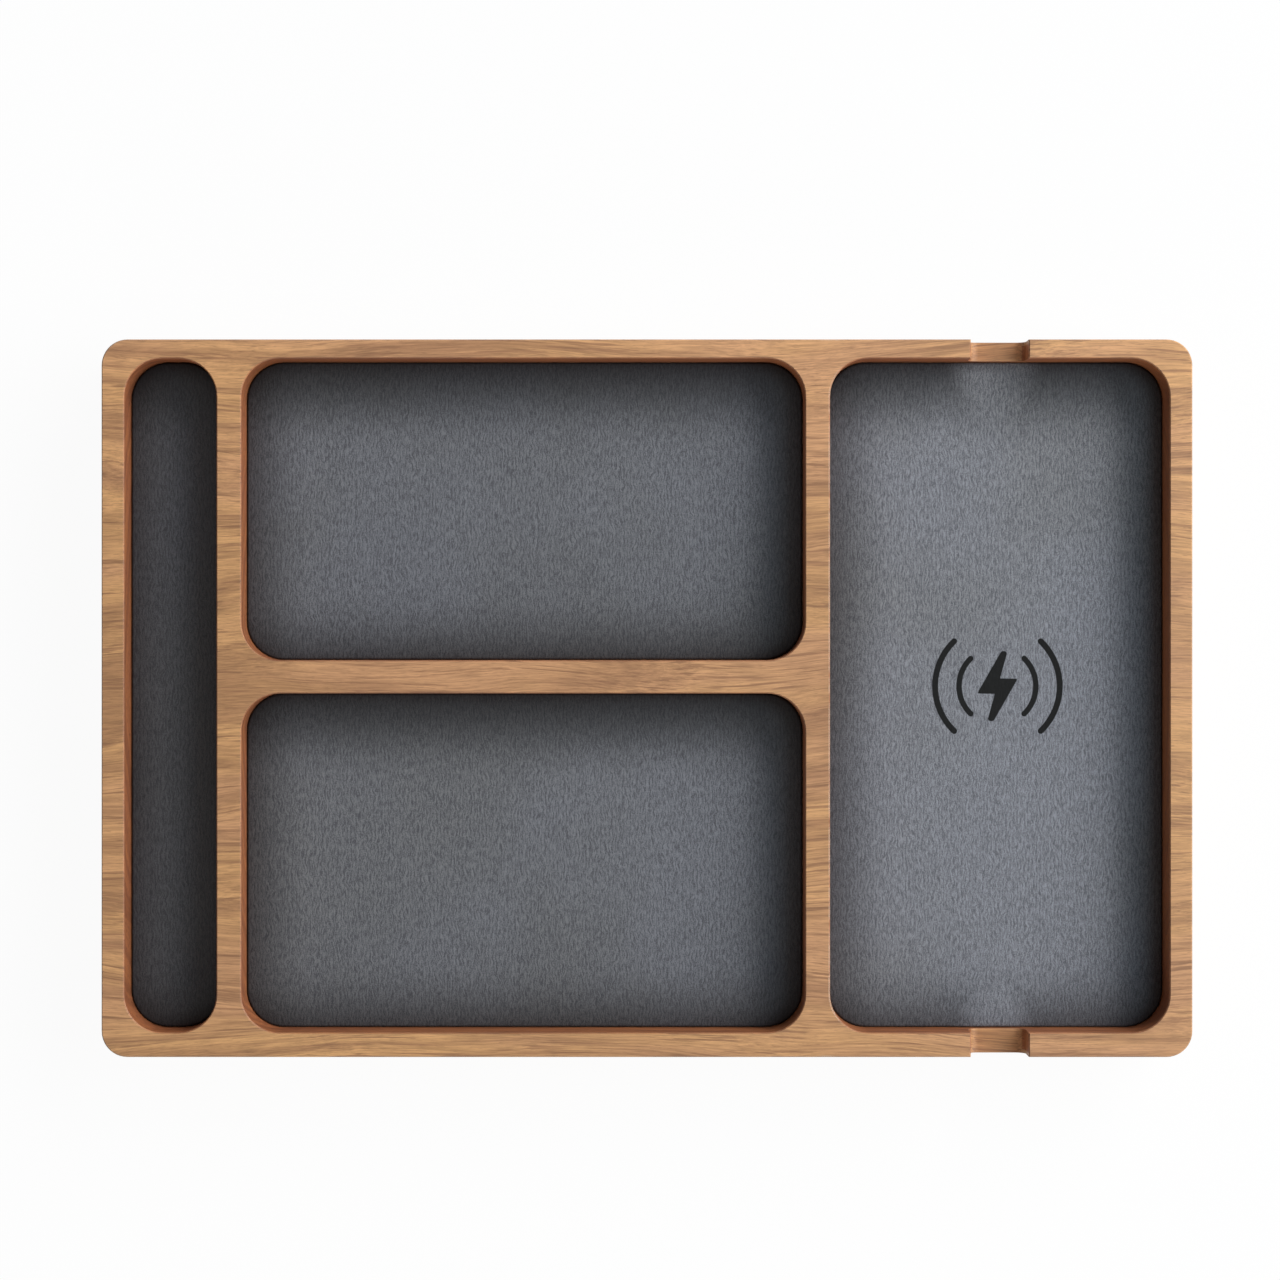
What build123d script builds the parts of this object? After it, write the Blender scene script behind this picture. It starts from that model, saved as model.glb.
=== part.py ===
from build123d import *
import math
import os

# A wooden valet tray: one routed board with four leather-lined pockets, and a phone
# charger let into its underside below the largest pocket.
# Millimetres. The origin is the centre of the footprint, on the table. +X runs towards
# the charging pocket, +Y to the rear edge, where the charging port is, and +Z is up.

# Board outline
tray_length = 304.0
tray_width = 200.0
outline_radius = 7.2
rim_bevel = 0.3
underside_bevel = 0.8

# Rims and dividers, as seen from above
side_rim = 6.3
rear_rim = 5.25
front_rim = 6.8
upright_divider = 6.9
cross_divider = 9.2

# Pockets. The two middle ones share what the others leave.
pen_slot_width = 25.7
charging_width = 94.7
rear_pocket_length = 84.2
pocket_radius = 10.7
pocket_depth = 12.4
floor_web = 1.5

# Notches through the rear and front rims of the charging pocket
notch_width = 16.2
notch_depth = 10.5
notch_corner_radius = 3.0

# Leather wrapped over a stiff board, one pad for each pocket
leather_thickness = 1.0
lining_board_thickness = 1.0
lining_gap = 0.15

# Base panel and its screws
panel_thickness = 2.0
panel_inset = 3.0
panel_gap = 0.2
base_screw_inset = 9.0
base_screw_length = 8.0
base_screw_diameter = 3.0
base_screw_head_diameter = 5.6
base_screw_head_height = 1.4
pilot_gap = 0.05

# Screw drives: a cross cut into the head
drive_width = 0.6
drive_depth = 0.8
drive_share = 0.62

# Rubber feet, flat discs stuck under the panel
foot_height = 1.5
foot_diameter = 12.0
foot_inset = 26.0

# Charging port in the rear edge
port_recess_width = 13.2
port_recess_height = 6.9
port_recess_depth = 4.5
port_web = 1.5
port_gap = 0.2
port_shell_width = 8.94
port_shell_height = 3.26
port_shell_length = 9.0
port_shell_radius = 1.3
port_shell_wall = 0.3
port_back_wall = 0.6
tongue_width = 6.7
tongue_thickness = 0.7
tongue_length = 5.2
contact_width = 0.25
contact_length = 3.6
contact_thickness = 0.06
contact_pitch = 0.5
contacts_a_side = 12

# Circuit board
board_width = 46.0
board_length = 58.0
board_thickness = 1.0
board_standoff = 1.1
board_screw_inset = 4.0
hook_width = 5.0
hook_inset = 6.0
hook_thickness = 1.0
hook_reach = 1.2
hook_gap = 0.15
board_screw_length = 2.4
board_screw_diameter = 2.0
board_screw_head_diameter = 3.6
board_screw_head_height = 1.2
boss_diameter = 5.2

# Parts on the circuit board
controller_side = 7.0
controller_height = 0.9
transistor_side = 3.3
transistor_height = 0.8
inductor_side = 7.2
inductor_height = 2.8
inductor_corner = 1.6
capacitor_length = 3.2
capacitor_width = 2.5
capacitor_height = 2.4

# Where they stand, as shares of the board's width and length from its middle
controller_share = (0.0, -0.02)
inductor_share = (-0.27, 0.22)
transistor_column_shares = (0.2, 0.34)
transistor_row_shares = (-0.02, 0.12)
capacitor_column_shares = (-0.21, -0.07, 0.07, 0.21)
capacitor_row_share = -0.28

# Charging coil on its ferrite plate: one flat spiral of ribbon wire, whose inner
# lead climbs and runs back over the turns
ribbon_width = 2.3
ribbon_height = 0.75
turn_pitch = 2.8
coil_inner_radius = 10.2
coil_half_turns = 7
crossing_gap = 0.45
lead_straight = 1.0
lead_climb = 3.0
lead_shift = 2.4
lead_bend_radius = 1.5
lead_spacing = 15.6
ferrite_side = 50.0
ferrite_thickness = 1.0
ferrite_corner = 6.0
board_to_ferrite = 5.8
lead_landing = 3.0
sensor_length = 3.6
sensor_diameter = 2.2
sensor_wire_side = 0.4
sensor_wire_spacing = 1.0

# Moulded carrier that holds the board and the coil, and its screws
carrier_gap = 0.2
carrier_floor = 1.2
carrier_wall = 1.2
carrier_radius = 3.0
carrier_clearance = 0.3
carrier_fit = 0.4
cavity_headroom = 0.34
ear_thickness = 2.6
ear_radius = 4.0
ear_reach = 4.6
carrier_screw_length = 5.0
carrier_screw_diameter = 2.4
carrier_screw_head_diameter = 4.6
carrier_screw_head_height = 1.3
seat_rib = 1.0
seat_rib_shares = (-0.36, 0.0, 0.36)
stop_width = 6.0
stop_share = 0.3

# How far a cut runs past the face that it opens
overrun = 1.0

# Levels, from the table up
panel_bottom = foot_height
panel_top = panel_bottom + panel_thickness
carrier_bottom = panel_top + carrier_gap
carrier_floor_top = carrier_bottom + carrier_floor
board_bottom = carrier_floor_top + board_standoff
board_top = board_bottom + board_thickness
port_middle = board_top + port_shell_height / 2
cavity_ceiling = board_top + port_shell_height + cavity_headroom
pocket_floor = cavity_ceiling + floor_web
board_lining_top = pocket_floor + lining_board_thickness
leather_top = board_lining_top + leather_thickness
rim_top = leather_top + pocket_depth
notch_floor = rim_top - notch_depth
coil_bottom = cavity_ceiling - cavity_headroom - 2 * ribbon_height - crossing_gap
ferrite_bottom = coil_bottom - ferrite_thickness

# Outer faces
left, right = -tray_length / 2, tray_length / 2
front, rear = -tray_width / 2, tray_width / 2


class Pocket:
    """A rounded rectangle in plan, from its four edges."""

    def __init__(self, x0, x1, y0, y1):
        self.x0, self.x1, self.y0, self.y1 = x0, x1, y0, y1
        self.x, self.y = (x0 + x1) / 2, (y0 + y1) / 2
        self.width, self.length = x1 - x0, y1 - y0


pen = Pocket(
    left + side_rim,
    left + side_rim + pen_slot_width,
    front + front_rim,
    rear - rear_rim,
)
charging = Pocket(
    right - side_rim - charging_width,
    right - side_rim,
    front + front_rim,
    rear - rear_rim,
)
rear_middle = Pocket(
    pen.x1 + upright_divider,
    charging.x0 - upright_divider,
    rear - rear_rim - rear_pocket_length,
    rear - rear_rim,
)
front_middle = Pocket(
    rear_middle.x0,
    rear_middle.x1,
    front + front_rim,
    rear_middle.y0 - cross_divider,
)
pockets = {
    "pen": pen,
    "rear": rear_middle,
    "front": front_middle,
    "charging": charging,
}

# The charger in plan. It is set out forwards from the port in the rear edge.
module_x = charging.x
port_mouth = rear - port_recess_depth
cavity_rear = port_mouth - port_web
carrier_rear = cavity_rear - carrier_clearance
board_rear = carrier_rear - carrier_wall - carrier_fit
board_front = board_rear - board_length
board_y = (board_rear + board_front) / 2
ferrite_rear = board_front - board_to_ferrite
coil_y = ferrite_rear - ferrite_side / 2
carrier_front = ferrite_rear - ferrite_side - carrier_fit - carrier_wall
carrier_y = (carrier_rear + carrier_front) / 2
carrier_length = carrier_rear - carrier_front
carrier_width = max(board_width, ferrite_side) + 2 * (carrier_fit + carrier_wall)
ear_x = carrier_width / 2 + ear_reach


def slab(length, width, radius, bottom, top, x=0, y=0):
    """An upright block with rounded corners in plan."""
    return Pos(x, y, bottom) * extrude(RectangleRounded(length, width, radius), top - bottom)


def block(x0, x1, y0, y1, bottom, top):
    return Pos(x0, y0, bottom) * Box(x1 - x0, y1 - y0, top - bottom, align=Align.MIN)


def post(diameter, bottom, top, x=0, y=0):
    upright = (Align.CENTER, Align.CENTER, Align.MIN)
    return Pos(x, y, bottom) * Cylinder(diameter / 2, top - bottom, align=upright)


def pocket_slab(pocket, inset, bottom, top):
    """A block that fills a pocket in plan, less an inset all round."""
    return slab(
        pocket.width - 2 * inset,
        pocket.length - 2 * inset,
        pocket_radius - inset,
        bottom,
        top,
        pocket.x,
        pocket.y,
    )


def through_rear(profile, start, end, x, z):
    """A profile in the X-Z plane, pushed back from y = start to y = end."""
    plane = Plane(origin=(x, start, z), x_dir=(1, 0, 0), z_dir=(0, 1, 0))
    return extrude(plane * profile, end - start)


def base_screw_places():
    x, y = right - base_screw_inset, rear - base_screw_inset
    return [(i * x, j * y) for i in (-1, 1) for j in (-1, 1)]


def foot_places():
    x, y = right - foot_inset, rear - foot_inset
    return {
        "front_left": (-x, -y),
        "front_right": (x, -y),
        "rear_left": (-x, y),
        "rear_right": (x, y),
    }


def ear_places():
    return [(module_x + side * ear_x, carrier_y) for side in (-1, 1)]


def board_screw_places():
    x = board_width / 2 - board_screw_inset
    return [(module_x + side * x, board_rear - board_screw_inset) for side in (-1, 1)]


def board_place(x_share, y_share):
    return module_x + x_share * board_width, board_y + y_share * board_length


def cross_drive(head_diameter):
    """The cutter for a screw's drive, down from z = 0."""
    span = drive_share * head_diameter
    down = (Align.CENTER, Align.CENTER, Align.MAX)
    across = Box(span, drive_width, drive_depth, align=down)
    return across + Box(drive_width, span, drive_depth, align=down)


def pan_screw(head_diameter, head_height, diameter, length):
    """A flat-topped screw, its head from z = 0 up and its shank down from there."""
    drive = Pos(0, 0, head_height) * cross_drive(head_diameter)
    return post(head_diameter, 0, head_height) + post(diameter, -length, 0) - drive


def countersunk_head(gap=0):
    """The cone under a base screw's head, wide end down at z = 0, grown by a gap."""
    return Cone(
        base_screw_head_diameter / 2 + gap,
        base_screw_diameter / 2 + gap,
        base_screw_head_height,
        align=(Align.CENTER, Align.CENTER, Align.MIN),
    )


def ear_bar(grow, bottom, top):
    """A bar across the carrier, whose round ends are its two ears, grown all round."""
    bar = SlotCenterToCenter(2 * ear_x, 2 * (ear_radius + grow))
    return Pos(module_x, carrier_y, bottom) * extrude(bar, top - bottom)


def ease_rims(body):
    """Breaks every edge of the upper face, round the outline, pockets and notches."""
    upper = body.faces().filter_by(Axis.Z).group_by(Axis.Z)[-1]
    edges = [edge for face in upper for edge in face.edges()]
    return chamfer(edges, rim_bevel)


def notch_cut(y0, y1):
    """A cut through a rim, with rounded lower corners."""
    half = notch_width / 2
    cut = block(charging.x - half, charging.x + half, y0, y1, notch_floor, rim_top + overrun)
    return fillet(cut.edges().filter_by(Axis.Y).group_by(Axis.Z)[0], notch_corner_radius)


def tray_body():
    body = slab(tray_length, tray_width, outline_radius, panel_bottom, rim_top)
    for pocket in pockets.values():
        body -= pocket_slab(pocket, 0, pocket_floor, rim_top + overrun)
    for y0, y1 in ((front - overrun, charging.y0), (charging.y1, rear + overrun)):
        body -= notch_cut(y0, y1)
    body = ease_rims(body)
    body = chamfer(body.faces().sort_by(Axis.Z)[0].edges(), underside_bevel)

    # Rebate for the base panel, and the charger's cavity above it
    body -= slab(
        tray_length - 2 * panel_inset,
        tray_width - 2 * panel_inset,
        outline_radius - panel_inset,
        panel_bottom - overrun,
        panel_top,
    )
    cavity = slab(
        carrier_width + 2 * carrier_clearance,
        carrier_length + 2 * carrier_clearance,
        carrier_radius + carrier_clearance,
        panel_top - overrun,
        cavity_ceiling,
        module_x,
        carrier_y,
    )
    cavity += ear_bar(carrier_clearance, panel_top - overrun, carrier_bottom + ear_thickness)
    body -= cavity

    # Recess for a plug, and the window that its socket looks through
    recess = SlotOverall(port_recess_width, port_recess_height)
    body -= through_rear(recess, port_mouth, rear + overrun, module_x, port_middle)
    window = (cavity_rear - overrun, port_mouth + overrun)
    body -= through_rear(port_window(), *window, module_x, port_middle)

    # Pilot holes
    pilot = base_screw_diameter + 2 * pilot_gap
    tip = panel_bottom + base_screw_length + pilot_gap
    for x, y in base_screw_places():
        body -= post(pilot, panel_top - overrun, tip, x, y)
    pilot = carrier_screw_diameter + 2 * pilot_gap
    seat = carrier_bottom + carrier_screw_head_height
    for x, y in ear_places():
        body -= post(pilot, seat, seat + carrier_screw_length + pilot_gap, x, y)
    return body


def port_window():
    return RectangleRounded(
        port_shell_width + 2 * port_gap,
        port_shell_height + 2 * port_gap,
        port_shell_radius + port_gap,
    )


def lining_leather(pocket):
    """The leather skin, wrapped down over the board's edges to the pocket's floor."""
    return pocket_slab(pocket, lining_gap, pocket_floor, leather_top) - lining_board(pocket)


def lining_board(pocket):
    return pocket_slab(pocket, lining_gap + leather_thickness, pocket_floor, board_lining_top)


def base_panel():
    inset = panel_inset + panel_gap
    panel = slab(
        tray_length - 2 * inset,
        tray_width - 2 * inset,
        outline_radius - inset,
        panel_bottom,
        panel_top,
    )
    hole = base_screw_diameter + 2 * pilot_gap
    for x, y in base_screw_places():
        panel -= Pos(x, y, panel_bottom) * countersunk_head(pilot_gap)
        panel -= post(hole, panel_bottom, panel_top, x, y)
    return panel


def base_screws():
    shank = post(base_screw_diameter, 0, base_screw_length)
    drive = Rot(180, 0, 0) * cross_drive(base_screw_head_diameter)
    upright = countersunk_head() + shank - drive
    return [Pos(x, y, panel_bottom) * upright for x, y in base_screw_places()]


def carrier_ribs():
    """A grid of ribs under the ferrite plate, and two stops behind it."""
    low, high = carrier_floor_top - carrier_floor / 2, ferrite_bottom
    reach = ferrite_side / 2
    ribs = []
    for share in seat_rib_shares:
        x, y = module_x + share * ferrite_side, coil_y + share * ferrite_side
        sides = (x - seat_rib / 2, x + seat_rib / 2)
        ribs.append(block(*sides, coil_y - reach, coil_y + reach, low, high))
        sides = (y - seat_rib / 2, y + seat_rib / 2)
        ribs.append(block(module_x - reach, module_x + reach, *sides, low, high))
    for side in (-1, 1):
        x = module_x + side * stop_share * ferrite_side
        stop = (x - stop_width / 2, x + stop_width / 2, ferrite_rear, ferrite_rear + seat_rib)
        ribs.append(block(*stop, low, coil_bottom))
    return ribs


def board_rests():
    """Under the board's front edge, two rests, each with a hook that grips the edge."""
    front_face = board_front - carrier_fit
    rests = []
    for side in (-1, 1):
        x = module_x + side * (board_width / 2 - hook_inset)
        sides = (x - hook_width / 2, x + hook_width / 2)
        grip = board_top + hook_gap
        rests += [
            block(*sides, front_face, board_front + hook_reach, carrier_floor_top, board_bottom),
            block(*sides, front_face - hook_thickness, front_face, carrier_floor_top, grip),
            block(
                *sides,
                front_face - hook_thickness,
                board_front + hook_reach,
                grip,
                grip + hook_thickness,
            ),
        ]
    return rests


def charger_carrier():
    wall_top = cavity_ceiling - cavity_headroom
    carrier = slab(
        carrier_width,
        carrier_length,
        carrier_radius,
        carrier_bottom,
        wall_top,
        module_x,
        carrier_y,
    )
    carrier += ear_bar(0, carrier_bottom, carrier_bottom + ear_thickness)
    carrier -= slab(
        carrier_width - 2 * carrier_wall,
        carrier_length - 2 * carrier_wall,
        carrier_radius - carrier_wall,
        carrier_floor_top,
        wall_top + overrun,
        module_x,
        carrier_y,
    )
    for rib in carrier_ribs() + board_rests():
        carrier += rib
    for x, y in board_screw_places():
        carrier += post(boss_diameter, carrier_floor_top, board_bottom, x, y)
    for x, y in board_screw_places():
        tip = board_top - board_screw_length - pilot_gap
        carrier -= post(board_screw_diameter + 2 * pilot_gap, tip, board_bottom, x, y)
    seat = carrier_bottom + carrier_screw_head_height
    for x, y in ear_places():
        head = carrier_screw_head_diameter + 2 * pilot_gap
        shank = carrier_screw_diameter + 2 * pilot_gap
        carrier -= post(head, carrier_bottom - overrun, seat, x, y)
        carrier -= post(shank, carrier_bottom, carrier_bottom + ear_thickness, x, y)
    window = (carrier_rear - carrier_wall - overrun, carrier_rear + overrun)
    return carrier - through_rear(port_window(), *window, module_x, port_middle)


def carrier_screws():
    upright = pan_screw(
        carrier_screw_head_diameter,
        carrier_screw_head_height,
        carrier_screw_diameter,
        carrier_screw_length,
    )
    seat = carrier_bottom + carrier_screw_head_height
    return [Pos(x, y, seat) * Rot(180, 0, 0) * upright for x, y in ear_places()]


def circuit_board():
    edges = (module_x - board_width / 2, module_x + board_width / 2, board_front, board_rear)
    board = block(*edges, board_bottom, board_top)
    for x, y in board_screw_places():
        board -= post(board_screw_diameter + 2 * pilot_gap, board_bottom, board_top, x, y)
    return board


def board_screws():
    upright = pan_screw(
        board_screw_head_diameter,
        board_screw_head_height,
        board_screw_diameter,
        board_screw_length,
    )
    return [Pos(x, y, board_top) * upright for x, y in board_screw_places()]


def on_board(length, width, height, place):
    """A square-edged part that stands on the board."""
    x, y = place
    edges = (x - length / 2, x + length / 2, y - width / 2, y + width / 2)
    return block(*edges, board_top, board_top + height)


def power_inductor():
    x, y = board_place(*inductor_share)
    top = board_top + inductor_height
    return slab(inductor_side, inductor_side, inductor_corner, board_top, top, x, y)


def bridge_transistors():
    places = [board_place(x, y) for x in transistor_column_shares for y in transistor_row_shares]
    return [on_board(transistor_side, transistor_side, transistor_height, p) for p in places]


def resonant_capacitors():
    places = [board_place(x, capacitor_row_share) for x in capacitor_column_shares]
    return [on_board(capacitor_width, capacitor_length, capacitor_height, p) for p in places]


def port_shell():
    """The socket's drawn shell, open at its mouth and closed at its back."""
    outline = RectangleRounded(port_shell_width, port_shell_height, port_shell_radius)
    bore = RectangleRounded(
        port_shell_width - 2 * port_shell_wall,
        port_shell_height - 2 * port_shell_wall,
        port_shell_radius - port_shell_wall,
    )
    back = port_mouth - port_shell_length
    inside = (back + port_back_wall, port_mouth + overrun)
    shell = through_rear(outline, back, port_mouth, module_x, port_middle)
    return shell - through_rear(bore, *inside, module_x, port_middle)


def port_tongue():
    back = port_mouth - port_shell_length + port_back_wall
    blade = Rectangle(tongue_width, tongue_thickness)
    return through_rear(blade, back, back + tongue_length, module_x, port_middle)


def port_contacts():
    """Two rows of contact strips, one on each face of the tongue."""
    tip = port_mouth - port_shell_length + port_back_wall + tongue_length - contact_width
    strips = []
    for side in (-1, 1):
        face = port_middle + side * tongue_thickness / 2
        levels = sorted((face, face + side * contact_thickness))
        for i in range(contacts_a_side):
            x = module_x + (i - (contacts_a_side - 1) / 2) * contact_pitch
            strip = (x - contact_width / 2, x + contact_width / 2, tip - contact_length, tip)
            strips.append(block(*strip, *levels))
    return strips


def ferrite_plate():
    plate = block(
        module_x - ferrite_side / 2,
        module_x + ferrite_side / 2,
        coil_y - ferrite_side / 2,
        coil_y + ferrite_side / 2,
        ferrite_bottom,
        coil_bottom,
    )
    return chamfer(plate.edges().filter_by(Axis.Z), ferrite_corner)


def coil_turns(level):
    """Half turns about two centres in turn, from the inner end to the outer one."""
    arcs = []
    radius, centre, side = coil_inner_radius, module_x, 1
    for _ in range(coil_half_turns):
        start = (centre + side * radius, coil_y, level)
        middle = (centre, coil_y - side * radius, level)
        end = (centre - side * radius, coil_y, level)
        arcs.append(ThreePointArc(start, middle, end))
        centre += side * turn_pitch / 2
        radius += turn_pitch / 2
        side = -side
    return arcs


def coil_line():
    """The middle of the wire, from one pad on the board round the coil to the other."""
    level = coil_bottom + ribbon_height / 2
    over = level + ribbon_height + crossing_gap
    landing = board_top + ribbon_height / 2
    pad_y = board_front + lead_landing
    turns = coil_turns(level)
    inner, outer = turns[0] @ 0, turns[-1] @ 1
    inner_x = inner.X - lead_shift
    outer_x = inner_x - lead_spacing
    way_in = FilletPolyline(
        (inner_x, pad_y, landing),
        (inner_x, board_front, landing),
        (inner_x, ferrite_rear, over),
        (inner_x, coil_y + lead_climb + lead_straight, over),
        (inner.X, coil_y + lead_straight, level),
        inner,
        radius=lead_bend_radius,
    )
    way_out = FilletPolyline(
        outer,
        (outer.X, coil_y + coil_inner_radius, level),
        (outer_x, ferrite_rear - lead_shift, level),
        (outer_x, ferrite_rear, level),
        (outer_x, board_front, landing),
        (outer_x, pad_y, landing),
        radius=lead_bend_radius,
    )
    edges = [*way_in.edges(), *[turn.edge() for turn in turns], *way_out.edges()]
    return Wire(edges)


def least_gap(line):
    """The ribbon's least clear distance to itself, between points well apart along it."""
    step = ribbon_height / 2
    count = int(line.length / step)
    points = [line.position_at(i / count) for i in range(count + 1)]
    apart = int(2 * turn_pitch / step) + 1
    gaps = []
    for i, here in enumerate(points):
        for there in points[i + apart :]:
            beside = math.hypot(there.X - here.X, there.Y - here.Y) - ribbon_width
            above = abs(there.Z - here.Z) - ribbon_height
            gaps.append(math.hypot(max(beside, 0), max(above, 0)))
    return min(gaps)


def charging_coil():
    line = coil_line()
    print(f"least gap between the coil's turns: {least_gap(line):.2f} mm")
    section = Plane(origin=line @ 0, x_dir=(1, 0, 0), z_dir=line % 0)
    return sweep(section * Rectangle(ribbon_width, ribbon_height), path=line)


def temperature_sensor():
    """A bead lying on the ferrite plate in the middle of the coil."""
    bead = Rot(90, 0, 0) * Cylinder(sensor_diameter / 2, sensor_length)
    return Pos(module_x, coil_y, coil_bottom + sensor_diameter / 2) * bead


def sensor_leads():
    """Two thin wires from the bead, over the turns and down to the board."""
    level = coil_bottom + sensor_diameter / 2
    landing = board_top + sensor_wire_side / 2
    leads = []
    for side in (-1, 1):
        x = module_x + side * sensor_wire_spacing / 2
        line = FilletPolyline(
            (x, coil_y + sensor_length / 2, level),
            (x, ferrite_rear, level),
            (x, board_front, landing),
            (x, board_front + lead_landing, landing),
            radius=lead_bend_radius,
        )
        section = Plane(origin=line @ 0, x_dir=(1, 0, 0), z_dir=line % 0)
        leads.append(sweep(section * Rectangle(sensor_wire_side, sensor_wire_side), path=line))
    return leads


def solids_of_tray():
    """Every piece of the tray, by its name."""
    pieces = {
        "tray_body": tray_body(),
        "base_panel": base_panel(),
        "base_screws": base_screws(),
        "charger_carrier": charger_carrier(),
        "carrier_screws": carrier_screws(),
        "circuit_board": circuit_board(),
        "board_screws": board_screws(),
        "controller_chip": on_board(
            controller_side, controller_side, controller_height, board_place(*controller_share)
        ),
        "bridge_transistors": bridge_transistors(),
        "power_inductor": power_inductor(),
        "resonant_capacitors": resonant_capacitors(),
        "port_shell": port_shell(),
        "port_tongue": port_tongue(),
        "port_contacts": port_contacts(),
        "ferrite_plate": ferrite_plate(),
        "charging_coil": charging_coil(),
        "temperature_sensor": temperature_sensor(),
        "sensor_leads": sensor_leads(),
    }
    for name, pocket in pockets.items():
        pieces[f"{name}_lining_leather"] = lining_leather(pocket)
        pieces[f"{name}_lining_board"] = lining_board(pocket)
    for name, place in foot_places().items():
        pieces[f"foot_{name}"] = post(foot_diameter, 0, foot_height, *place)
    return pieces


def main():
    os.makedirs("parts", exist_ok=True)
    for name, piece in solids_of_tray().items():
        shape = Compound(children=piece) if isinstance(piece, list) else piece
        export_step(shape, f"parts/{name}.step")


if __name__ == "__main__":
    main()
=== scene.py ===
"""The look of a wooden valet tray with leather-lined pockets, built round its CAD frame."""

import math
from typing import NamedTuple

import bmesh
import bpy
from bpy.props import FloatProperty, FloatVectorProperty, PointerProperty
from mathutils import Matrix, Vector


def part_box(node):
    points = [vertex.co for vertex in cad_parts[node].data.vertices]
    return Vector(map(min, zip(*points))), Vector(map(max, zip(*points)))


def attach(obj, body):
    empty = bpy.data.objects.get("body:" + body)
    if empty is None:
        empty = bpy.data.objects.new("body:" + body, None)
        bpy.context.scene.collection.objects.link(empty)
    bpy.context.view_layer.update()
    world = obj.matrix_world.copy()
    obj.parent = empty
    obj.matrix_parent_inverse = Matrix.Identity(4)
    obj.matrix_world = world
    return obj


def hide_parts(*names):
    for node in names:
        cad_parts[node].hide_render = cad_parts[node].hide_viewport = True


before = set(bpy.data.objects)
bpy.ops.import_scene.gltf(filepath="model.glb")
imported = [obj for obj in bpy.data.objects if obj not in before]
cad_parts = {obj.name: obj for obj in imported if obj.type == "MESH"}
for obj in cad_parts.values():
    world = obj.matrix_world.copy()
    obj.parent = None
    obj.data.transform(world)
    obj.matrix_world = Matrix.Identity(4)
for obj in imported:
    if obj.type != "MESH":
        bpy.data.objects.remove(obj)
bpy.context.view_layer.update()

bl_info = {
    "name": "Valet Tray",
    "version": (1, 0, 0),
    "blender": (4, 5, 0),
    "location": "3D View > Sidebar > Valet Tray",
    "description": "Leather linings, charging sign and finishes of a wooden valet tray",
    "category": "Add Mesh",
}

# Everything is in metres, in the CAD model's frame.
MM = 0.001
MERGE_DISTANCE = 0.001 * MM
SMOOTH_ANGLE = math.radians(35)

POCKETS = ("pen", "rear", "front", "charging")
LINING_BOARDS = tuple(f"{pocket}_lining_board" for pocket in POCKETS)
SCREWS = ("base_screws", "carrier_screws", "board_screws")
FEET = ("foot_front_left", "foot_front_right", "foot_rear_left", "foot_rear_right")

# UV maps that hold how far in from two of its sides a place on a lining is, in metres
LINING_CORNERS = ("front_left", "rear_right")

# How often the wood's noises repeat in a metre: along the board, across it and through it
SWAY_SCALE = (7.0, 22.0, 22.0)
PATCH_SCALE = (10.0, 60.0, 60.0)
STREAK_SCALE = (30.0, 1000.0, 1000.0)
FIBRE_SCALE = (90.0, 2600.0, 2600.0)
PORE_SCALE = (330.0, 5200.0, 5200.0)
LINE_SCALE = 9.0

# How far the wood's growth rings sway from straight, and how far behind the tray's middle
# their heart lies
SWAY_WIDTH = 22 * MM
HEART_BEHIND = 12 * MM

# How often the leather's columns sway in a metre, and how far
COLUMN_SWAY_SCALE = (260.0, 260.0, 260.0)
COLUMN_SWAY = 2.4 * MM

LINING_CORNER_SEGMENTS = 10
EDGE_ROLL_SEGMENTS = 5

# The crown's steps from the edge inwards: each one's width in millimetres, and its share
# of the rise
CROWN_STEPS = ((0.8, 0.24), (1.2, 0.26), (2.0, 0.26), (2.5, 0.16), (2.5, 0.08))

# Half of the bolt's corners: right, up and corner radius, in millimetres from its middle
BOLT_CORNERS = ((1.21, 10.06, 0.7), (2.82, 9.66, 0.7), (0.73, 2.17, 0.25), (5.73, 2.09, 0.6))
BOLT_CORNER_SEGMENTS = 4
WAVE_SEGMENTS = 24
WAVE_END_SEGMENTS = 10

# Share of the floor that shows white, so that the rest keeps the tray's shadow
FLOOR_WHITE = 0.95

tray_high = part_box("tray_body")[1]
charging_low, charging_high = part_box("charging_lining_leather")
charging_middle = (charging_low + charging_high) / 2


# Settings that a user would change


def as_length(name, description, default):
    return FloatProperty(name=name, description=description, default=default, unit="LENGTH")


def as_share(name, description, default):
    return FloatProperty(name=name, description=description, default=default, min=0, max=1)


def as_color(name, description, default):
    return FloatVectorProperty(
        name=name, description=description, default=default, subtype="COLOR", min=0, max=1
    )


def as_power(name, description, default):
    return FloatProperty(name=name, description=description, default=default, unit="POWER")


def as_place(name, description, default):
    return FloatVectorProperty(
        name=name, description=description, default=default, subtype="TRANSLATION"
    )


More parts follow.
